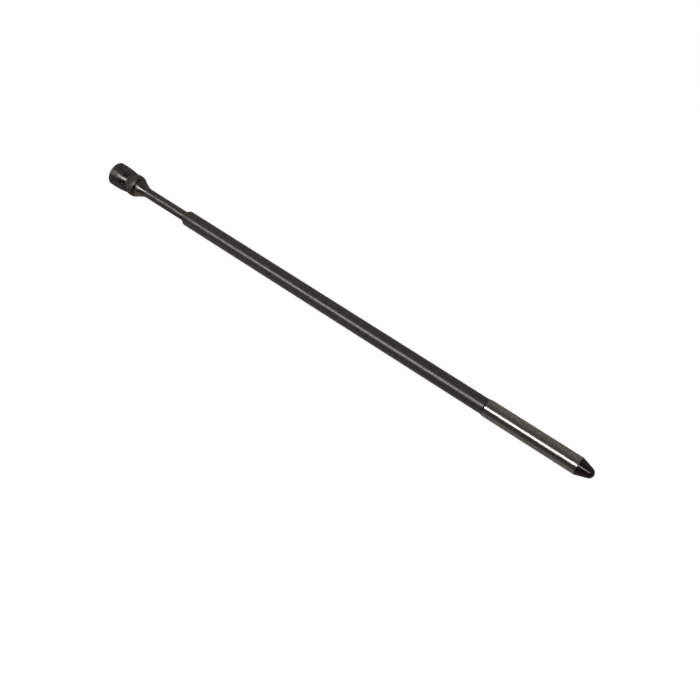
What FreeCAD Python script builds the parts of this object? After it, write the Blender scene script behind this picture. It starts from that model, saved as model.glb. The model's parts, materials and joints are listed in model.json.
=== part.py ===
import FreeCAD, Part
import math
import os

os.makedirs("parts", exist_ok=True)

# Telescoping magnetic pickup tool with a swivelling magnet head. Lengths are millimetres.
# The tool lies along X: the magnet's working face is centred on the origin and faces -X, and the
# pointed handle end is at the far +X end. Stations are distances from the magnet face.

# Telescope: four tubes, each sliding in the one before it, from the handle to the head
OUTER_DIAMETER = 7.94
DIAMETER_STEP = 0.95
WALL = 0.30
LIP_LENGTH = 3.0
LIP_CLEARANCE = 0.05
MOUTH_ROUND = 0.25
OUTER_SPAN = (51.3, 284.7)
SECOND_SPAN = (50.5, 270.0)
THIRD_SPAN = (49.9, 260.0)
INNER_SPAN = (23.1, 231.0)
INNER_BORE_RADIUS = 2.1

# Stops and friction springs at the rear of each sliding tube
STOP_LENGTH = 6.0
STOP_CLEARANCE = 0.05
SPRING_LENGTH = 12.8
SPRING_GAP = 0.2
SPRING_CLEARANCE = 0.025
SPRING_SLOT = 0.8

# Handle sleeve and conical end plug
SLEEVE_RADIUS = 4.355
SLEEVE_SPAN = (235.6, 284.7)
SLEEVE_TAPER_LENGTH = 0.8
SLEEVE_TAPER_HEIGHT = 0.3
TIP_LENGTH = 7.7
TIP_NOSE_RADIUS = 2.6
PLUG_DEPTH = 10.0

# Magnet head
CUP_RADIUS = 6.25
CUP_STRAIGHT = 7.0
CUP_LENGTH = 11.4
CUP_END_RADIUS = 5.5
CUP_EDGE = 0.4
MAGNET_RADIUS = 4.3
SPACER_RADIUS = 5.2
MAGNET_LENGTH = 5.5

# Pin-spanner hole in the cup's side, for screwing the cup on its stud. The angle is turned from +Z
# towards -Y.
HOLE_STATION = 10.15
HOLE_RADIUS = 0.85
HOLE_DEPTH = 1.0
HOLE_ANGLE = 58.0

# Ball joint between the head and the inner tube. The collar is domed about the ball's centre, and
# the cup's rear is hollowed to slide over the dome.
BALL_STATION = 14.2
BALL_RADIUS = 3.0
BALL_CLEARANCE = 0.1
NECK_RADIUS = 1.1
SHANK_RADIUS = 2.0
SHANK_FRONT = 6.1
DOME_RADIUS = 5.82
DOME_CLEARANCE = 0.12
COLLAR_MOUTH_RADIUS = 4.1
COLLAR_THROAT = 12.5
SEAM_STATION = 16.7
SEAM_WIDTH = 0.4
FLARE_START_RADIUS = 4.84
FLARE_END = 21.8
FLARE_END_RADIUS = 2.78
THREAD_RADIUS = 4.4
THREAD_FRONT = 14.5
POCKET_RADIUS = 3.65
POCKET_FLOOR = 17.5
SEAT_RADIUS = 3.55
SEAT_SPAN = (14.7, 16.5)
WASHER_SPAN = (16.6, 17.4)
WASHER_RADII = (2.3, 3.5)
WASHER_THICKNESS = 0.25
TAIL_LENGTH = 9.0

X_AXIS = FreeCAD.Vector(1, 0, 0)
ORIGIN = FreeCAD.Vector(0, 0, 0)


def turned(outline):
    """A solid of revolution about X from (station, radius) points in order."""
    points = [FreeCAD.Vector(x, 0, r) for x, r in outline]
    face = Part.Face(Part.makePolygon(points + points[:1]))
    return face.revolve(ORIGIN, X_AXIS, 360)


def bar(start, end, radius):
    return Part.makeCylinder(radius, end - start, FreeCAD.Vector(start, 0, 0), X_AXIS)


def ring(start, end, inner, outer):
    return bar(start, end, outer).cut(bar(start, end, inner))


def ball(radius):
    return Part.makeSphere(radius, FreeCAD.Vector(BALL_STATION, 0, 0))


def rounded_rim(solid, station, radius, size):
    """Round the circular edge of this radius at this station."""
    edges = [
        edge for edge in solid.Edges
        if isinstance(edge.Curve, Part.Circle)
        and abs(edge.Curve.Center.x - station) < 1e-4
        and abs(edge.Curve.Radius - radius) < 1e-4
    ]
    return solid.makeFillet(size, edges)


def tube_radius(index):
    """Outer radius of a telescope tube; 0 is the handle's own tube."""
    return (OUTER_DIAMETER - index * DIAMETER_STEP) / 2


def bore_radius(index):
    return tube_radius(index) - WALL


def lipped_tube(index, span):
    """A tube whose mouth is rolled in to guide and retain the next tube."""
    front, rear = span
    outer = tube_radius(index)
    bore = bore_radius(index)
    lip = tube_radius(index + 1) + LIP_CLEARANCE
    lip_end = front + LIP_LENGTH
    solid = turned([
        (front, lip), (front, outer), (rear, outer), (rear, bore),
        (lip_end + bore - lip, bore), (lip_end, lip),
    ])
    return rounded_rim(solid, front, outer, MOUTH_ROUND)


def inner_tube():
    front, rear = INNER_SPAN
    return ring(front, rear, INNER_BORE_RADIUS, tube_radius(3))


def stop_ring(index, rear):
    """The ring pressed on a sliding tube's rear end, too large to pass the lip ahead of it."""
    return ring(rear - STOP_LENGTH, rear, tube_radius(index), bore_radius(index - 1) - STOP_CLEARANCE)


def friction_spring(index, rear):
    """Two half-shell springs that ride on a sliding tube and rub in the bore around it."""
    end = rear - STOP_LENGTH - SPRING_GAP
    start = end - SPRING_LENGTH
    inner = tube_radius(index) + SPRING_CLEARANCE
    outer = bore_radius(index - 1) - SPRING_CLEARANCE
    slot = Part.makeBox(
        SPRING_LENGTH, 2 * outer, SPRING_SLOT, FreeCAD.Vector(start, -outer, -SPRING_SLOT / 2)
    )
    return ring(start, end, inner, outer).cut(slot)


def handle_sleeve():
    """The thin sleeve pressed on the tube, tapered at its front edge."""
    start, end = SLEEVE_SPAN
    return turned([
        (start, tube_radius(0)), (start, SLEEVE_RADIUS - SLEEVE_TAPER_HEIGHT),
        (start + SLEEVE_TAPER_LENGTH, SLEEVE_RADIUS), (end, SLEEVE_RADIUS), (end, tube_radius(0)),
    ])


def tip_plug():
    """The conical end with its spherical nose, and the spigot pressed in the tube."""
    base = SLEEVE_SPAN[1]
    centre = base + TIP_LENGTH - TIP_NOSE_RADIUS
    reach = math.hypot(centre - base, SLEEVE_RADIUS)
    slope = math.asin(TIP_NOSE_RADIUS / reach) - math.atan2(SLEEVE_RADIUS, centre - base)
    normal = math.pi / 2 + slope
    tangent_x = centre + TIP_NOSE_RADIUS * math.cos(normal)
    tangent_r = TIP_NOSE_RADIUS * math.sin(normal)
    cone = turned([(base, 0), (base, SLEEVE_RADIUS), (tangent_x, tangent_r), (tangent_x, 0)])
    nose = Part.makeSphere(TIP_NOSE_RADIUS, FreeCAD.Vector(centre, 0, 0))
    nose = nose.common(bar(tangent_x, base + TIP_LENGTH + 1, SLEEVE_RADIUS))
    spigot = bar(base - PLUG_DEPTH, base, bore_radius(0))
    return cone.fuse([nose, spigot]).removeSplitter()


def spanner_hole():
    """The round tool that cuts the pin-spanner hole, square to the axis."""
    angle = math.radians(HOLE_ANGLE)
    outward = FreeCAD.Vector(0, -math.sin(angle), math.cos(angle))
    slope = (CUP_RADIUS - CUP_END_RADIUS) / (CUP_LENGTH - CUP_STRAIGHT)
    surface = CUP_RADIUS - slope * (HOLE_STATION - CUP_STRAIGHT)
    start = FreeCAD.Vector(HOLE_STATION, 0, 0) + outward * (surface - HOLE_DEPTH)
    return Part.makeCylinder(HOLE_RADIUS, 2 * HOLE_DEPTH, start, outward)


def magnet_cup():
    """Steel cup: the magnet's pocket in front, the stud's hole and the dome's hollow behind."""
    solid = turned([
        (0, SPACER_RADIUS), (0, CUP_RADIUS), (CUP_STRAIGHT, CUP_RADIUS),
        (CUP_LENGTH, CUP_END_RADIUS), (CUP_LENGTH, SHANK_RADIUS),
        (SHANK_FRONT, SHANK_RADIUS), (SHANK_FRONT, 0), (MAGNET_LENGTH, 0),
        (MAGNET_LENGTH, SPACER_RADIUS),
    ])
    solid = rounded_rim(solid, 0, CUP_RADIUS, CUP_EDGE)
    return solid.cut(ball(DOME_RADIUS + DOME_CLEARANCE)).cut(spanner_hole())


def magnet():
    return bar(0, MAGNET_LENGTH, MAGNET_RADIUS)


def spacer_ring():
    return ring(0, MAGNET_LENGTH, MAGNET_RADIUS, SPACER_RADIUS)


def ball_stud():
    """The shank in the cup's rear, the neck and the ball in its socket."""
    shank = bar(SHANK_FRONT, CUP_LENGTH, SHANK_RADIUS).cut(ball(DOME_RADIUS + DOME_CLEARANCE))
    neck = bar(SHANK_FRONT, BALL_STATION, NECK_RADIUS)
    return ball(BALL_RADIUS).fuse([neck, shank]).removeSplitter()


def socket_collar():
    """The domed cap that screws on the socket cup and keeps the ball in."""
    front = BALL_STATION - math.sqrt(DOME_RADIUS ** 2 - COLLAR_MOUTH_RADIUS ** 2)
    inside = BALL_RADIUS + BALL_CLEARANCE
    throat = math.sqrt(inside ** 2 - (BALL_STATION - COLLAR_THROAT) ** 2)
    dome = ball(DOME_RADIUS).common(bar(front, SEAM_STATION, DOME_RADIUS))
    mouth = turned([
        (front, 0), (front, COLLAR_MOUTH_RADIUS), (COLLAR_THROAT, throat), (COLLAR_THROAT, 0),
    ])
    thread = bar(THREAD_FRONT - BALL_CLEARANCE, SEAM_STATION, THREAD_RADIUS)
    return dome.cut(ball(inside)).cut(mouth).cut(thread)


def socket_cup():
    """The flared cup behind the collar, with its tail pressed in the inner tube."""
    front = INNER_SPAN[0]
    flare_start = SEAM_STATION + SEAM_WIDTH
    return turned([
        (THREAD_FRONT, POCKET_RADIUS), (THREAD_FRONT, THREAD_RADIUS),
        (flare_start, THREAD_RADIUS), (flare_start, FLARE_START_RADIUS),
        (FLARE_END, FLARE_END_RADIUS), (front, tube_radius(3)), (front, INNER_BORE_RADIUS),
        (front + TAIL_LENGTH, INNER_BORE_RADIUS), (front + TAIL_LENGTH, 0),
        (POCKET_FLOOR, 0), (POCKET_FLOOR, POCKET_RADIUS),
    ])


def ball_seat():
    """The ring behind the ball, hollowed to the ball's curve."""
    return bar(*SEAT_SPAN, SEAT_RADIUS).cut(ball(BALL_RADIUS + BALL_CLEARANCE))


def seat_spring():
    """The dished spring washer that presses the seat on the ball."""
    front, rear = WASHER_SPAN
    inner, outer = WASHER_RADII
    return turned([
        (front, inner), (rear - WASHER_THICKNESS, outer), (rear, outer),
        (front + WASHER_THICKNESS, inner),
    ])


nodes = {
    "magnet_cup": magnet_cup(),
    "magnet": magnet(),
    "magnet_spacer_ring": spacer_ring(),
    "ball_stud": ball_stud(),
    "socket_collar": socket_collar(),
    "socket_cup": socket_cup(),
    "ball_seat": ball_seat(),
    "seat_spring": seat_spring(),
    "inner_tube": inner_tube(),
    "third_tube": lipped_tube(2, THIRD_SPAN),
    "second_tube": lipped_tube(1, SECOND_SPAN),
    "outer_tube": lipped_tube(0, OUTER_SPAN),
    "handle_sleeve": handle_sleeve(),
    "tip_plug": tip_plug(),
}
sliding_tubes = [("second", SECOND_SPAN), ("third", THIRD_SPAN), ("inner", INNER_SPAN)]
for index, (name, span) in enumerate(sliding_tubes, start=1):
    nodes[name + "_tube_stop"] = stop_ring(index, span[1])
    nodes[name + "_friction_spring"] = friction_spring(index, span[1])

for name, shape in nodes.items():
    assert shape.isValid(), name
    shape.exportStep("parts/" + name + ".step")
    print(name, "solids", len(shape.Solids), "mm3", round(shape.Volume, 2))
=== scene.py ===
import bpy
import json
import math
from mathutils import Matrix, Vector


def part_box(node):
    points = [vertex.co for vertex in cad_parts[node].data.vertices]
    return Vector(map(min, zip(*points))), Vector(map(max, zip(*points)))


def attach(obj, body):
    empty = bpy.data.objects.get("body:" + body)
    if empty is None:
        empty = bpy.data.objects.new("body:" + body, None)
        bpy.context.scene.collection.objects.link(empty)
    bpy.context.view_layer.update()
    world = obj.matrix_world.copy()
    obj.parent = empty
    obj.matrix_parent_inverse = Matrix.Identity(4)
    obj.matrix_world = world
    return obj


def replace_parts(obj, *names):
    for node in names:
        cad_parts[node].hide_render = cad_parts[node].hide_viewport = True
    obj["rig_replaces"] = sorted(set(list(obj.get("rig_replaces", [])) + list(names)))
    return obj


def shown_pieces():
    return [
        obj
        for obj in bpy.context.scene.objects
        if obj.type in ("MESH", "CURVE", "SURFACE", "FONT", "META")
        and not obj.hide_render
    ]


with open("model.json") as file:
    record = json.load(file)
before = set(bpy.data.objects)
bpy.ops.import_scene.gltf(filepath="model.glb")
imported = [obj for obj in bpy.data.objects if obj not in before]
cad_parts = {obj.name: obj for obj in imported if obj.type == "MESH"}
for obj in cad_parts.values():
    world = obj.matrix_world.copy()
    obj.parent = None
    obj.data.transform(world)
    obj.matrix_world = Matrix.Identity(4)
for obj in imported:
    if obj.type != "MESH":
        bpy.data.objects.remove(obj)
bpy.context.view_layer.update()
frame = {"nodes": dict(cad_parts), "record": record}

# Telescoping magnetic pickup tool. Metres, in the CAD frame: the magnet's face is centred on the
# origin and the tool runs along +X to its pointed end. Stations and radii come from the CAD nodes,
# and the measures that a node's box doesn't give are named here.

MM = 0.001
SEGMENTS = 160
ARC_STEPS = 6
SHARP_ANGLE = math.radians(32)

CUP_STRAIGHT = 7.0 * MM
CUP_END_RADIUS = 5.5 * MM
DOME_CLEARANCE = 0.12 * MM
HOLE_STATION = 10.15 * MM
HOLE_RADIUS = 0.85 * MM
HOLE_DEPTH = 1.0 * MM
HOLE_CHAMFER = 0.1 * MM
HOLE_ANGLE = math.radians(58)
SHANK_RADIUS = 2.0 * MM
NECK_RADIUS = 1.1 * MM

BALL_CLEARANCE = 0.1 * MM
COLLAR_THROAT = 12.5 * MM
THREAD_RADIUS = 4.4 * MM
SEAM_WIDTH = 0.4 * MM
FLARE_START_RADIUS = 4.84 * MM
FLARE_END = 21.8 * MM
FLARE_END_RADIUS = 2.78 * MM
POCKET_RADIUS = 3.65 * MM
POCKET_FLOOR = 17.5 * MM
INNER_BORE_RADIUS = 2.1 * MM

WALL = 0.30 * MM
LIP_LENGTH = 3.0 * MM
LIP_CLEARANCE = 0.05 * MM
SLEEVE_TAPER_HEIGHT = 0.3 * MM
SLEEVE_TAPER_LENGTH = 0.8 * MM
TIP_NOSE_RADIUS = 2.6 * MM

# Painted shade by the seam: the colour of a dark spot and its angle round the tool, painted on the
# collar and the flare where the seam's gap is in shade.
SEAM_SHADE_ANGLE = math.radians(43)
SEAM_SHADE = (0.02, 0.017, 0.011)

CAMERA_LENS = 56.58
CAMERA_PLACE = Vector((355.09, -248.4, 418.34)) * MM
CAMERA_AIM = Vector((168.05, -13.29, 0.0)) * MM

# Studio light. Angles are degrees round the tool from the camera's side, positive to the floor.
KEY_ANGLE = 6.8
KEY_LEVEL = 3.6
END_TURN = 11.0
END_LEVEL = 4.2
LIGHT_TINT = (1.0, 0.975, 0.94)
TENT_TINT = (1.0, 0.955, 0.90)
OVERHEAD_LEVEL = 0.55
FLOOR_GLOW = 0.87
BACKDROP = 0.93
# The tent of dim surroundings round the tool: (angle, level), darker on the camera's side.
TENT = [
    (-180, 0.20), (-110, 0.17), (-60, 0.145), (-45, 0.10), (-30, 0.075), (20, 0.07), (35, 0.045),
    (62, 0.04), (76, 0.12), (92, 0.155), (180, 0.20),
]


# ---------------------------------------------------------------- frame measures

def span(node):
    """Front and rear stations of a CAD node."""
    low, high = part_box(node)
    return low.x, high.x


def radius(node):
    """Outer radius of a turned CAD node."""
    low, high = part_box(node)
    return high.z


# ---------------------------------------------------------------- turned meshes

def rounded(outline):
    """Corners given as (station, radius, rounding) become arcs of ARC_STEPS chords."""
    points = []
    count = len(outline)
    for i, corner in enumerate(outline):
        here = Vector(corner[:2])
        size = corner[2] if len(corner) > 2 else 0.0
        if size == 0.0:
            points.append(here)
            continue
        before = (Vector(outline[i - 1][:2]) - here).normalized()
        after = (Vector(outline[(i + 1) % count][:2]) - here).normalized()
        half = before.angle(after) / 2
        inset = size / math.tan(half)
        centre = here + (before + after).normalized() * (size / math.sin(half))
        start = here + before * inset - centre
        end = here + after * inset - centre
        sweep = start.angle_signed(end)
        for step in range(ARC_STEPS + 1):
            turn = sweep * step / ARC_STEPS
            c, s = math.cos(turn), math.sin(turn)
            points.append(centre + Vector((start.x * c + start.y * s, start.y * c - start.x * s)))
    return points


def divided(points, longest):
    """Splits long edges of the outline, so that shading and bump stay even along the tool."""
    result = []
    for a, b in zip(points, points[1:] + points[:1]):
        pieces = max(1, math.ceil((b - a).length / longest))
        result += [a.lerp(b, k / pieces) for k in range(pieces)]
    return result


def turned(name, outline, material, node, longest=6 * MM):
    """A closed solid of revolution about X that stands for one CAD node and rides on its body."""
    points = divided(rounded(outline), longest)
    axis_limit = 1e-9
    vertices, rings = [], []
    for point in points:
        if point.y < axis_limit:
            rings.append([len(vertices)] * SEGMENTS)
            vertices.append((point.x, 0.0, 0.0))
            continue
        rings.append(range(len(vertices), len(vertices) + SEGMENTS))
        for k in range(SEGMENTS):
            angle = 2 * math.pi * k / SEGMENTS
            vertices.append((point.x, point.y * math.sin(angle), point.y * math.cos(angle)))
    faces = []
    for ring, after in zip(rings, rings[1:] + rings[:1]):
        for k in range(SEGMENTS):
            n = (k + 1) % SEGMENTS
            corners = list(dict.fromkeys((ring[k], after[k], after[n], ring[n])))
            if len(corners) > 2:
                faces.append(corners)
    mesh = bpy.data.meshes.new(name)
    mesh.from_pydata(vertices, [], faces)
    mesh.validate()
    mesh.materials.append(material)
    for polygon in mesh.polygons:
        polygon.use_smooth = True
    mesh.set_sharp_from_angle(angle=SHARP_ANGLE)
    piece = bpy.data.objects.new(name, mesh)
    bpy.context.scene.collection.objects.link(piece)
    body = next(b for b, members in frame["record"]["behaviour"]["bodies"].items() if node in members)
    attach(piece, body)
    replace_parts(piece, node)
    return piece


# ---------------------------------------------------------------- materials

class Shader:
    """A Principled material and the few node chains that the materials here share."""

    def __init__(self, slot, metallic, roughness, **sockets):
        self.material = bpy.data.materials.new(slot)
        self.material["slot"] = slot
        self.material.use_nodes = True
        self.tree = self.material.node_tree
        self.shader = self.tree.nodes["Principled BSDF"]
        self.shader.inputs["Metallic"].default_value = metallic
        self.shader.inputs["Roughness"].default_value = roughness
        for socket, value in sockets.items():
            self.shader.inputs[socket.replace("_", " ")].default_value = value
        self.place = self.tree.nodes.new("ShaderNodeTexCoord").outputs["Object"]

    def link(self, source, target):
        self.tree.links.new(source, target)

    def noise(self, scale, detail=4.0, roughness=0.55, distortion=0.0):
        """Noise whose scale is given per metre along X, Y and Z."""
        mapping = self.tree.nodes.new("ShaderNodeMapping")
        mapping.inputs["Scale"].default_value = scale
        self.link(self.place, mapping.inputs["Vector"])
        noise = self.tree.nodes.new("ShaderNodeTexNoise")
        noise.inputs["Scale"].default_value = 1.0
        noise.inputs["Detail"].default_value = detail
        noise.inputs["Roughness"].default_value = roughness
        noise.inputs["Distortion"].default_value = distortion
        self.link(mapping.outputs["Vector"], noise.inputs["Vector"])
        return noise.outputs["Fac"]

    def ranged(self, value, low, high, out_low=0.0, out_high=1.0):
        """Maps low..high to out_low..out_high, clamped."""
        node = self.tree.nodes.new("ShaderNodeMapRange")
        for socket, number in zip(("From Min", "From Max", "To Min", "To Max"),
                                  (low, high, out_low, out_high)):
            node.inputs[socket].default_value = number
        self.link(value, node.inputs["Value"])
        return node.outputs["Result"]

    def math(self, operation, a, b):
        node = self.tree.nodes.new("ShaderNodeMath")
        node.operation = operation
        for value, socket in zip((a, b), node.inputs):
            if isinstance(value, (int, float)):
                socket.default_value = value
            else:
                self.link(value, socket)
        return node.outputs["Value"]

    def mix(self, factor, a, b):
        """Mixes two colours, each a tuple or a socket."""
        node = self.tree.nodes.new("ShaderNodeMix")
        node.data_type = "RGBA"
        self.link(factor, node.inputs[0])
        for value, socket in ((a, node.inputs[6]), (b, node.inputs[7])):
            if isinstance(value, tuple):
                socket.default_value = (*value, 1.0)
            else:
                self.link(value, socket)
        return node.outputs[2]

    def station(self):
        """Distance along the tool from the magnet face, in metres."""
        split = self.tree.nodes.new("ShaderNodeSeparateXYZ")
        self.link(self.place, split.inputs[0])
        return split.outputs["X"]

    def from_axis(self):
        """Distance from the tool's axis, in metres."""
        node = self.tree.nodes.new("ShaderNodeVectorMath")
        node.operation = "MULTIPLY"
        self.link(self.place, node.inputs[0])
        node.inputs[1].default_value = (0, 1, 1)
        length = self.tree.nodes.new("ShaderNodeVectorMath")
        length.operation = "LENGTH"
        self.link(node.outputs["Vector"], length.inputs[0])
        return length.outputs["Value"]

    def near(self, station, reach):
        """1 at a station along the tool, falling to 0 at this reach either side."""
        away = self.math("ABSOLUTE", self.math("SUBTRACT", self.station(), station), 0.0)
        return self.ranged(away, 0.0, reach, 1.0, 0.0)

    def along(self, start, end, at_start, at_end):
        """A number that changes from one value to another between two stations."""
        return self.ranged(self.station(), start, end, at_start, at_end)

    def around(self, station, angle, height, reach):
        """1 at a point on the tool's side, falling to 0 at this reach from it."""
        node = self.tree.nodes.new("ShaderNodeVectorMath")
        node.operation = "DISTANCE"
        self.link(self.place, node.inputs[0])
        node.inputs[1].default_value = (
            station, -math.sin(angle) * height, math.cos(angle) * height)
        return self.ranged(node.outputs["Value"], 0.3 * reach, reach, 1.0, 0.0)

    def bump(self, height, distance, strength=1.0, under=None):
        node = self.tree.nodes.new("ShaderNodeBump")
        node.inputs["Strength"].default_value = strength
        node.inputs["Distance"].default_value = distance
        self.link(height, node.inputs["Height"])
        if under is not None:
            self.link(under, node.inputs["Normal"])
        self.link(node.outputs["Normal"], self.shader.inputs["Normal"])
        return node.outputs["Normal"]

    def paint(self, colour):
        self.link(colour, self.shader.inputs["Base Color"])

    def polish(self, roughness):
        self.link(roughness, self.shader.inputs["Roughness"])


def turned_steel(slot, dark, light, roughness):
    """Dark satin steel with lathe marks round the axis, a blotchy brownish tone and small scuffs.

    Gives the shader, its tone and its roughness, to be finished for each piece."""
    s = Shader(slot, metallic=1.0, roughness=roughness)
    cloud = s.noise((520, 520, 520), detail=6.0, roughness=0.7)
    tint = s.noise((310, 380, 380), detail=3.0)
    tone = s.mix(s.ranged(cloud, 0.38, 0.64), dark, light)
    warm = tuple(level * share for level, share in zip(light, (0.98, 0.89, 0.84)))
    tone = s.mix(s.ranged(tint, 0.45, 0.72, 0.0, 0.6), tone, warm)
    marks = s.noise((9000, 160, 160), detail=3.0)
    scuffs = s.noise((1500, 4200, 4200), detail=4.0, distortion=0.6)
    worn = s.ranged(scuffs, 0.56, 0.70, 0.0, 0.16)
    dull = s.math("ADD", s.ranged(cloud, 0.3, 0.7, roughness - 0.05, roughness + 0.08), worn)
    under = s.bump(marks, 2.0e-6, strength=0.7)
    s.bump(scuffs, 3.5e-6, strength=0.5, under=under)
    return s, tone, dull


def head_steel(slot):
    """Cup and flare. The cup is dull at its rims, with painted shade in and round its hole. The flare
    is paler and smoother, dull at its two ends, with a painted reflection on its underside and painted
    shade by the seam."""
    s, tone, dull = turned_steel(slot, (0.108, 0.099, 0.091), (0.31, 0.299, 0.286), 0.26)
    on_flare = s.along(16.9 * MM, 17.0 * MM, 0.0, 1.0)
    tone = s.mix(s.math("MULTIPLY", on_flare, 0.42), tone, (0.34, 0.312, 0.290))
    mottle = s.noise((1300, 1300, 1300), detail=3.0)
    tone = s.mix(s.ranged(mottle, 0.48, 0.64, 0.0, 0.6), tone, (0.08, 0.073, 0.066))
    # Painted shade: the hole and the steel round it are painted dark.
    tone = s.mix(s.around(HOLE_STATION, HOLE_ANGLE, 5.7 * MM, 1.5 * MM), tone, (0.03, 0.026, 0.023))
    # Painted reflection: a paler, browner patch on the flare's underside, where it reflects brighter
    # surroundings.
    wear_and_sheen = s.around(19.5 * MM, math.radians(82), 4.4 * MM, 4.2 * MM)
    tone = s.mix(s.math("MULTIPLY", wear_and_sheen, 0.55), tone, (0.60, 0.50, 0.45))
    # Painted shade: a dark spot on the flare beside the seam's gap, on the camera's side below the
    # highlight.
    tone = s.mix(s.around(17.1 * MM, SEAM_SHADE_ANGLE, 4.9 * MM, 1.35 * MM), tone, SEAM_SHADE)
    s.paint(tone)
    cup_front = s.along(3.4 * MM, 8.2 * MM, 0.17, -0.06)
    cup_rear = s.math("MULTIPLY", s.along(10.5 * MM, 11.2 * MM, 0.0, 0.35),
                      s.along(13.0 * MM, 13.1 * MM, 1.0, -0.2))
    flare_ends = s.math("ADD", s.along(17.9 * MM, 19.5 * MM, 0.20, 0.0),
                        s.along(21.2 * MM, 22.4 * MM, 0.0, 0.20))
    for change in (cup_front, cup_rear, s.math("MULTIPLY", on_flare, flare_ends)):
        dull = s.math("ADD", dull, change)
    s.polish(dull)
    return s.material


def collar_steel(slot):
    """Domed collar: dull where the cup rubs it, brighter to the rear, with painted shade at a place by
    the seam.
    """
    s, tone, dull = turned_steel(slot, (0.130, 0.115, 0.106), (0.30, 0.270, 0.250), 0.40)
    # Painted shade: a dark spot on the collar beside the seam's gap.
    s.paint(s.mix(s.around(16.7 * MM, SEAM_SHADE_ANGLE, 5.2 * MM, 1.3 * MM), tone, SEAM_SHADE))
    s.polish(s.math("ADD", dull, s.along(15.0 * MM, 15.7 * MM, 0.34, 0.0)))
    return s.material


def drawn_steel(slot, dark, light, roughness, line=1.0e-6):
    """Drawn tube: fine lines along the axis over a cloudy satin tone."""
    s = Shader(slot, metallic=1.0, roughness=roughness)
    cloud = s.noise((420, 900, 900), detail=5.0, roughness=0.7)
    s.paint(s.mix(s.ranged(cloud, 0.38, 0.62), dark, light))
    lines = s.noise((60, 14000, 14000), detail=2.0)
    smears = s.noise((400, 1800, 1800), detail=4.0)
    s.polish(s.ranged(smears, 0.3, 0.72, roughness - 0.04, roughness + 0.07))
    s.bump(lines, line, strength=0.6)
    return s.material


def black_coat(slot, mouth):
    """Black satin coat over steel, finely grained, darker towards the handle by painted shade, rubbed
    through a little at the tube's mouth.
    """
    s = Shader(slot, metallic=0.0, roughness=0.31, IOR=1.79)
    cloud = s.noise((1500, 1900, 1900), detail=4.0, roughness=0.65)
    coat = s.mix(s.ranged(cloud, 0.36, 0.64), (0.010, 0.0087, 0.0079), (0.062, 0.0535, 0.0478))
    # Painted shade: the coat darkens towards the handle, as light falls off along the tube.
    coat = s.mix(s.along(50 * MM, 235 * MM, 0.0, 0.55), coat, (0.012, 0.0105, 0.0095))
    specks = s.noise((5200, 5200, 5200), detail=2.0)
    wear_and_sheen = s.math("MULTIPLY", s.near(mouth, 0.55 * MM), s.ranged(specks, 0.42, 0.6))
    s.paint(s.mix(wear_and_sheen, coat, (0.17, 0.165, 0.16)))
    s.link(s.math("MULTIPLY", wear_and_sheen, 0.8), s.shader.inputs["Metallic"])
    s.polish(s.ranged(s.noise((350, 1300, 1300), detail=4.0), 0.3, 0.7, 0.26, 0.38))
    patches = s.noise((1200, 1700, 1700), detail=4.0, roughness=0.65)
    s.link(s.ranged(patches, 0.36, 0.64, 0.55, 1.0), s.shader.inputs["Specular IOR Level"])
    grain = s.noise((9000, 9000, 9000), detail=3.0)
    lines = s.noise((80, 7000, 7000), detail=2.0)
    under = s.bump(grain, 2.2e-6, strength=0.6)
    s.bump(lines, 1.2e-6, strength=0.5, under=under)
    return s.material


def polished_sleeve(slot, front):
    """Polished stainless with drawing lines, smears and a few hairlines; its front taper is painted
    dark, a painted shade.
    """
    s = Shader(slot, metallic=1.0, roughness=0.14)
    cloud = s.noise((800, 1500, 1500), detail=4.0, roughness=0.6)
    tone = s.mix(s.ranged(cloud, 0.39, 0.61), (0.455, 0.430, 0.405), (0.705, 0.674, 0.643))
    # Painted shade: the sleeve's front taper is painted dark, so that its highlight starts further
    # back.
    edge = s.along(front + 0.4 * MM, front + 0.9 * MM, 0.88, 0.0)
    s.paint(s.mix(edge, tone, (0.09, 0.085, 0.08)))
    smears = s.noise((260, 900, 900), detail=5.0, roughness=0.65)
    s.polish(s.ranged(smears, 0.3, 0.75, 0.13, 0.26))
    lines = s.noise((60, 9000, 9000), detail=3.0)
    hairs = s.ranged(s.noise((900, 9000, 3000), detail=1.0, distortion=1.2), 0.72, 0.78, 1.0, 0.0)
    under = s.bump(lines, 1.4e-6, strength=0.6)
    s.bump(hairs, 1.5e-6, strength=0.4, under=under)
    return s.material


def glossy_plastic(slot):
    """Black moulded plastic: slight flow marks and dulling handling marks."""
    s = Shader(slot, metallic=0.0, roughness=0.16, Specular_IOR_Level=0.92,
               Specular_Tint=(1.0, 0.90, 0.88, 1.0))
    cloud = s.noise((500, 500, 500), detail=4.0)
    s.paint(s.mix(s.ranged(cloud, 0.3, 0.7), (0.0030, 0.0013, 0.0010), (0.0085, 0.0050, 0.0040)))
    s.polish(s.ranged(s.noise((1800, 1800, 1800), detail=5.0), 0.3, 0.75, 0.10, 0.24))
    s.bump(s.noise((2400, 900, 900), detail=3.0), 2.0e-6, strength=0.4)
    return s.material


def plain_metal(slot, dark, light, roughness):
    """Brass or bright steel turned parts: lathe marks and a tarnished tone."""
    s = Shader(slot, metallic=1.0, roughness=roughness)
    cloud = s.noise((420, 420, 420), detail=5.0, roughness=0.6)
    s.paint(s.mix(s.ranged(cloud, 0.3, 0.7), dark, light))
    s.polish(s.ranged(cloud, 0.3, 0.7, roughness - 0.03, roughness + 0.08))
    s.bump(s.noise((16000, 600, 600), detail=2.0), 1.0e-6, strength=0.6)
    return s.material


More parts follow.
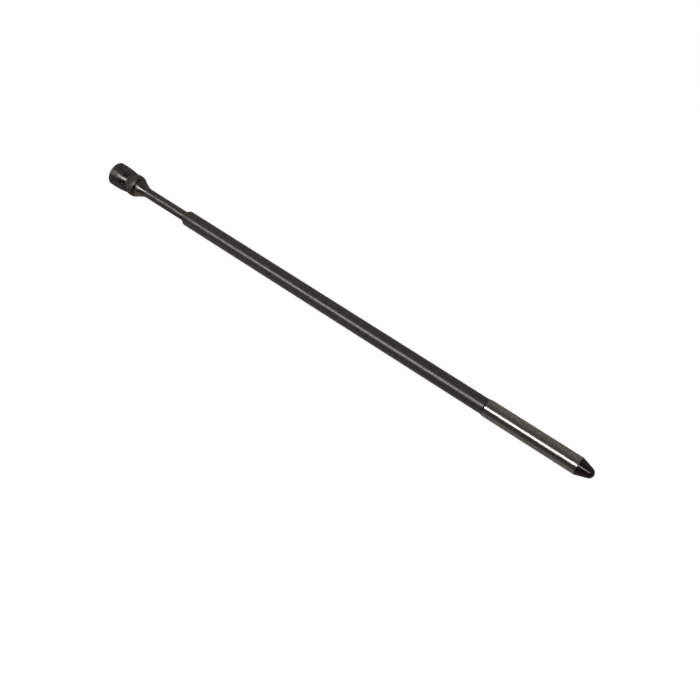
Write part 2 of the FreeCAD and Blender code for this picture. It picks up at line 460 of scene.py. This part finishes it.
def spacer_brass(slot, edges):
    """Brass ring with a dark joint line along each of its edges, given as radii."""
    s = Shader(slot, metallic=1.0, roughness=0.26)
    cloud = s.noise((420, 420, 420), detail=5.0, roughness=0.6)
    tone = s.mix(s.ranged(cloud, 0.3, 0.7), (0.48, 0.34, 0.14), (0.68, 0.52, 0.25))
    for edge in edges:
        away = s.math("ABSOLUTE", s.math("SUBTRACT", s.from_axis(), edge), 0.0)
        tone = s.mix(s.ranged(away, 0.03 * MM, 0.12 * MM, 1.0, 0.0), tone, (0.03, 0.024, 0.016))
    s.paint(tone)
    s.polish(s.ranged(cloud, 0.3, 0.7, 0.23, 0.34))
    s.bump(s.noise((300, 900, 15000), detail=2.0), 1.0e-6, strength=0.6)
    return s.material


def ground_face(slot):
    """Nickel-plated magnet: straight grinding marks and rubbed patches on its face."""
    s = Shader(slot, metallic=1.0, roughness=0.25)
    cloud = s.noise((700, 700, 700), detail=5.0, roughness=0.65)
    s.paint(s.mix(s.ranged(cloud, 0.3, 0.7), (0.42, 0.405, 0.385), (0.60, 0.585, 0.56)))
    s.polish(s.ranged(cloud, 0.3, 0.7, 0.20, 0.36))
    s.bump(s.noise((300, 900, 15000), detail=2.0), 1.4e-6, strength=0.6)
    return s.material


def nylon(slot):
    """Natural nylon: slightly cloudy, a little translucent, with a moulded skin."""
    s = Shader(slot, metallic=0.0, roughness=0.42, Subsurface_Weight=0.15)
    s.shader.inputs["Subsurface Radius"].default_value = (1.2 * MM, 1.0 * MM, 0.8 * MM)
    cloud = s.noise((900, 900, 900), detail=4.0)
    s.paint(s.mix(s.ranged(cloud, 0.3, 0.7), (0.70, 0.68, 0.62), (0.82, 0.81, 0.77)))
    s.bump(s.noise((6000, 6000, 6000), detail=3.0), 2.0e-6, strength=0.4)
    return s.material


def materials():
    mouth = span("outer_tube")[0]
    return {
        "head_steel": head_steel("head_steel"),
        "collar_steel": collar_steel("collar_steel"),
        "magnet_nickel": ground_face("magnet_nickel"),
        "spacer_brass": spacer_brass(
            "spacer_brass", (radius("magnet"), radius("magnet_spacer_ring"))),
        "stud_steel": plain_metal("stud_steel", (0.34, 0.33, 0.32), (0.48, 0.47, 0.45), 0.22),
        "seat_plastic": nylon("seat_plastic"),
        "spring_steel": drawn_steel("spring_steel", (0.30, 0.30, 0.31), (0.42, 0.42, 0.43), 0.28),
        "inner_tube_steel": drawn_steel(
            "inner_tube_steel", (0.165, 0.152, 0.143), (0.345, 0.323, 0.307), 0.40),
        "stop_brass": plain_metal("stop_brass", (0.48, 0.34, 0.14), (0.66, 0.50, 0.24), 0.3),
        "tube_black": black_coat("tube_black", mouth),
        "sleeve_polished": polished_sleeve("sleeve_polished", span("handle_sleeve")[0]),
        "tip_plastic": glossy_plastic("tip_plastic"),
    }


# ---------------------------------------------------------------- pieces

def arc(centre, radius, start, end, steps):
    """Points on a circle centred on the axis, between two angles measured from -X."""
    angles = (start + (end - start) * k / steps for k in range(steps + 1))
    return [(centre - radius * math.cos(angle), radius * math.sin(angle)) for angle in angles]


def drill(piece, station, angle, outline):
    """Cuts a round hole square to the axis. The outline is (distance from the axis, hole radius)."""
    outward = Vector((0, -math.sin(angle), math.cos(angle)))
    side = Vector((0, outward.z, -outward.y))
    sides = 48
    vertices = [
        Vector((station, 0, 0)) + outward * height
        + (Vector((1, 0, 0)) * math.cos(turn) + side * math.sin(turn)) * size
        for height, size in outline for turn in (2 * math.pi * k / sides for k in range(sides))
    ]
    starts = [i * sides for i in range(len(outline))]
    faces = [
        (low + k, low + (k + 1) % sides, high + (k + 1) % sides, high + k)
        for low, high in zip(starts, starts[1:]) for k in range(sides)
    ]
    faces += [tuple(reversed(range(sides))), tuple(range(starts[-1], starts[-1] + sides))]
    mesh = bpy.data.meshes.new("drill")
    mesh.from_pydata(vertices, [], faces)
    cutter = bpy.data.objects.new("drill", mesh)
    bpy.context.scene.collection.objects.link(cutter)
    hole = piece.modifiers.new("hole", "BOOLEAN")
    hole.object, hole.operation, hole.solver = cutter, "DIFFERENCE", "EXACT"
    solid = bpy.data.meshes.new_from_object(
        piece.evaluated_get(bpy.context.evaluated_depsgraph_get()))
    piece.modifiers.clear()
    piece.data = solid
    for polygon in solid.polygons:
        polygon.use_smooth = True
    solid.set_sharp_from_angle(angle=SHARP_ANGLE)
    bpy.data.objects.remove(cutter)


def magnet_head(finish):
    """The cup, the magnet with its spacer ring, and the ball stud behind it."""
    front, rear = span("magnet_cup")
    barrel = radius("magnet_cup")
    magnet_rear = span("magnet")[1]
    magnet_radius = radius("magnet")
    spacer = radius("magnet_spacer_ring")
    shank_front, ball_rear = span("ball_stud")
    ball = radius("ball_stud")
    centre = ball_rear - ball
    hollow = radius("socket_collar") + DOME_CLEARANCE
    straight = front + CUP_STRAIGHT
    rim_angle = math.acos((centre - rear) / hollow)
    shank_angle = math.asin(SHANK_RADIUS / hollow)
    neck_angle = math.asin(NECK_RADIUS / hollow)

    cup = turned("head_cup", [
        (front, spacer), (front, barrel, 0.4 * MM), (straight, barrel, 40 * MM),
        (rear, CUP_END_RADIUS, 0.08 * MM), *arc(centre, hollow, rim_angle, shank_angle, 16),
        (shank_front, SHANK_RADIUS), (shank_front, 0), (magnet_rear, 0), (magnet_rear, spacer),
    ], finish["head_steel"], "magnet_cup", longest=0.6 * MM)
    surface = barrel - (barrel - CUP_END_RADIUS) * (HOLE_STATION - straight) / (rear - straight)
    clear = 0.3 * MM
    drill(cup, HOLE_STATION, HOLE_ANGLE, [
        (surface - HOLE_DEPTH, HOLE_RADIUS), (surface - HOLE_CHAMFER, HOLE_RADIUS),
        (surface + clear, HOLE_RADIUS + HOLE_CHAMFER + clear),
    ])
    turned("head_magnet", [
        (front, 0), (front, magnet_radius), (magnet_rear, magnet_radius), (magnet_rear, 0),
    ], finish["magnet_nickel"], "magnet")
    turned("head_spacer", [
        (front, magnet_radius), (front, spacer), (magnet_rear, spacer),
        (magnet_rear, magnet_radius),
    ], finish["spacer_brass"], "magnet_spacer_ring")
    turned("head_ball_stud", [
        (shank_front, 0), (shank_front, SHANK_RADIUS, 0.2 * MM),
        *arc(centre, hollow, shank_angle, neck_angle, 3),
        *arc(centre, ball, math.asin(NECK_RADIUS / ball), math.pi, 28)[:-1], (ball_rear, 0),
    ], finish["stud_steel"], "ball_stud")


def ball_socket(finish):
    """The domed collar that keeps the ball, and the flared cup behind it."""
    front, seam = span("socket_collar")
    dome = radius("socket_collar")
    thread_front, tail_end = span("socket_cup")
    tube_front = span("inner_tube")[0]
    tube = radius("inner_tube")
    ball = radius("ball_stud")
    centre = span("ball_stud")[1] - ball
    cavity = ball + BALL_CLEARANCE
    shoulder = thread_front - BALL_CLEARANCE
    flare_start = seam + SEAM_WIDTH
    dome_front = math.acos((centre - front) / dome)
    dome_rear = math.acos((centre - seam) / dome)
    cavity_rear = math.acos((centre - shoulder) / cavity)
    throat = math.acos((centre - COLLAR_THROAT) / cavity)

    turned("socket_ring", [
        *arc(centre, dome, dome_front, dome_rear, 40),
        (seam, THREAD_RADIUS), (shoulder, THREAD_RADIUS),
        *arc(centre, cavity, cavity_rear, throat, 12),
    ], finish["collar_steel"], "socket_collar")
    turned("socket_flare", [
        (thread_front, POCKET_RADIUS), (thread_front, THREAD_RADIUS), (flare_start, THREAD_RADIUS),
        (flare_start, FLARE_START_RADIUS, 0.15 * MM), (FLARE_END, FLARE_END_RADIUS, 1.4 * MM),
        (tube_front, tube + 0.02 * MM, 0.05 * MM), (tube_front, INNER_BORE_RADIUS),
        (tail_end, INNER_BORE_RADIUS), (tail_end, 0), (POCKET_FLOOR, 0), (POCKET_FLOOR, POCKET_RADIUS),
    ], finish["head_steel"], "socket_cup")


def telescope(finish):
    """The four tubes. Each of the outer three has its mouth rolled in round the next."""
    names = ["outer_tube", "second_tube", "third_tube", "inner_tube"]
    coats = ["tube_black"] + ["inner_tube_steel"] * 2
    for name, inside, coat in zip(names[:3], names[1:], coats):
        front, rear = span(name)
        outer = radius(name)
        bore = outer - WALL
        lip = radius(inside) + LIP_CLEARANCE
        lip_end = front + LIP_LENGTH
        turned(name.replace("_", "_section_"), [
            (front, lip, 0.12 * MM), (front, outer, 0.25 * MM), (rear, outer, 0.05 * MM),
            (rear, bore, 0.05 * MM), (lip_end + bore - lip, bore), (lip_end, lip),
        ], finish[coat], name)
    front, rear = span("inner_tube")
    outer = radius("inner_tube")
    turned("inner_section_tube", [
        (front, INNER_BORE_RADIUS), (front, outer), (rear, outer, 0.1 * MM),
        (rear, INNER_BORE_RADIUS, 0.1 * MM),
    ], finish["inner_tube_steel"], "inner_tube")


def handle_end(finish):
    """The polished sleeve and the conical plug with its rounded nose."""
    front, rear = span("handle_sleeve")
    outer = radius("handle_sleeve")
    tube = radius("outer_tube")
    turned("sleeve", [
        (front, tube), (front, outer - SLEEVE_TAPER_HEIGHT, 0.03 * MM),
        (front + SLEEVE_TAPER_LENGTH, outer, 0.4 * MM), (rear, outer, 0.08 * MM), (rear, tube),
    ], finish["sleeve_polished"], "handle_sleeve")

    spigot_front, nose_end = span("tip_plug")
    centre = nose_end - TIP_NOSE_RADIUS
    reach = math.hypot(centre - rear, outer)
    fall = math.atan2(outer, centre - rear) - math.asin(TIP_NOSE_RADIUS / reach)
    steps = 20
    nose_arc = [
        (centre + TIP_NOSE_RADIUS * math.sin(angle), TIP_NOSE_RADIUS * math.cos(angle))
        for angle in (fall + (math.pi / 2 - fall) * k / steps for k in range(steps))
    ]
    turned("tip_cone", [
        (spigot_front, 0), (spigot_front, tube - WALL, 0.2 * MM), (rear, tube - WALL),
        (rear, outer, 0.15 * MM), *nose_arc, (nose_end, 0),
    ], finish["tip_plastic"], "tip_plug", longest=1 * MM)


def hidden_parts(finish):
    """The small CAD parts inside keep their shapes and get their finishes."""
    replaced = {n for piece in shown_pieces() for n in piece.get("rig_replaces", [])}
    for entry in frame["record"]["subparts"]:
        node = entry["node"]
        if node in replaced:
            continue
        mesh = frame["nodes"][node].data
        mesh.materials.clear()
        mesh.materials.append(finish[entry["material_slot"]])


# ---------------------------------------------------------------- studio

def floor():
    """A pale plane that touches the head's barrel and the thicker handle end."""
    head, sleeve = radius("magnet_cup"), radius("handle_sleeve")
    reach = span("handle_sleeve")[1] - 4 * MM
    slope = (head - sleeve) / reach
    size = 3.0
    corners = ((-size, -size), (size, -size), (size, size), (-size, size))
    vertices = [(x, y, -head + slope * x) for x, y in corners]
    mesh = bpy.data.meshes.new("studio_floor")
    mesh.from_pydata(vertices, [], [(0, 1, 2, 3)])
    s = Shader("studio_floor", metallic=0.0, roughness=0.8)
    s.paint(s.mix(s.noise((3, 3, 3)), (0.30, 0.30, 0.30), (0.31, 0.31, 0.31)))
    s.shader.inputs["Emission Color"].default_value = (1, 1, 1, 1)
    s.shader.inputs["Emission Strength"].default_value = FLOOR_GLOW
    mesh.materials.append(s.material)
    plane = bpy.data.objects.new("studio_floor", mesh)
    bpy.context.scene.collection.objects.link(plane)
    plane.visible_glossy = False


def camera():
    data = bpy.data.cameras.new("camera")
    data.lens = CAMERA_LENS
    data.sensor_width = 36.0
    data.clip_start, data.clip_end = 0.01, 50.0
    eye = bpy.data.objects.new("camera", data)
    bpy.context.scene.collection.objects.link(eye)
    eye.location = CAMERA_PLACE
    eye.rotation_euler = (CAMERA_AIM - CAMERA_PLACE).to_track_quat("-Z", "Y").to_euler()
    bpy.context.scene.camera = eye


def facing():
    """Unit vectors square to the tool: towards the camera's side, and from there down to the floor."""
    toward = CAMERA_PLACE - Vector((span("tip_plug")[1] / 2, 0, 0))
    out = Vector((0, toward.y, toward.z)).normalized()
    return out, Vector((0, -out.z, out.y))


def panel(name, direction, middle, distance, length, width, radiance):
    """A soft rectangular light square to the tool, its length along the tool."""
    data = bpy.data.lights.new(name, "AREA")
    data.shape = "RECTANGLE"
    data.size, data.size_y = length, width
    data.energy = math.pi * length * width * radiance
    data.color = LIGHT_TINT
    light = bpy.data.objects.new(name, data)
    bpy.context.scene.collection.objects.link(light)
    along = Vector((1, 0, 0))
    axes = Matrix((along, direction.cross(along), direction)).transposed().to_4x4()
    light.matrix_world = Matrix.Translation(Vector((middle, 0, 0)) + direction * distance) @ axes
    return light


def surroundings():
    """A dim tent: darker on the camera's side, paler at the sides, and white where it is looked at."""
    out, down = facing()
    world = bpy.data.worlds.new("studio")
    bpy.context.scene.world = world
    world.use_nodes = True
    tree = world.node_tree
    ray = tree.nodes.new("ShaderNodeTexCoord").outputs["Generated"]
    parts = []
    for axis in (down, out):
        dot = tree.nodes.new("ShaderNodeVectorMath")
        dot.operation = "DOT_PRODUCT"
        tree.links.new(ray, dot.inputs[0])
        dot.inputs[1].default_value = axis
        parts.append(dot.outputs["Value"])
    turn = tree.nodes.new("ShaderNodeMath")
    turn.operation = "ARCTAN2"
    tree.links.new(parts[0], turn.inputs[0])
    tree.links.new(parts[1], turn.inputs[1])
    place = tree.nodes.new("ShaderNodeMapRange")
    place.inputs["From Min"].default_value = -math.pi
    place.inputs["From Max"].default_value = math.pi
    tree.links.new(turn.outputs["Value"], place.inputs["Value"])
    ramp = tree.nodes.new("ShaderNodeValToRGB")
    tree.links.new(place.outputs["Result"], ramp.inputs["Fac"])
    stops = ramp.color_ramp.elements
    for index, (angle, level) in enumerate(TENT):
        fraction = (angle + 180) / 360
        stop = stops[index] if index < 2 else stops.new(fraction)
        stop.position = fraction
        stop.color = (*(level * share for share in TENT_TINT), 1)
    background = tree.nodes["Background"]
    tree.links.new(ramp.outputs["Color"], background.inputs["Color"])
    seen = tree.nodes.new("ShaderNodeBackground")
    seen.inputs["Color"].default_value = (BACKDROP, BACKDROP, BACKDROP, 1)
    path = tree.nodes.new("ShaderNodeLightPath")
    mix = tree.nodes.new("ShaderNodeMixShader")
    tree.links.new(path.outputs["Is Camera Ray"], mix.inputs[0])
    tree.links.new(background.outputs[0], mix.inputs[1])
    tree.links.new(seen.outputs[0], mix.inputs[2])
    tree.links.new(mix.outputs[0], tree.nodes["World Output"].inputs["Surface"])


def studio():
    out, down = facing()
    turn = math.radians(KEY_ANGLE)
    toward = out * math.cos(turn) + down * math.sin(turn)
    panel("key_strip", toward, -0.15, 1.0, 1.0, 0.28, KEY_LEVEL)
    turn -= math.radians(END_TURN)
    toward = out * math.cos(turn) + down * math.sin(turn)
    panel("end_strip", toward, 0.675, 1.0, 0.65, 0.22, END_LEVEL)
    overhead = panel("overhead", Vector((0, 0, 1)), 0.15, 1.8, 2.4, 2.4, OVERHEAD_LEVEL)
    overhead.visible_glossy = False
    surroundings()
    bpy.context.scene.view_settings.view_transform = "Standard"


finish = materials()
magnet_head(finish)
ball_socket(finish)
telescope(finish)
handle_end(finish)
hidden_parts(finish)
floor()
camera()
studio()
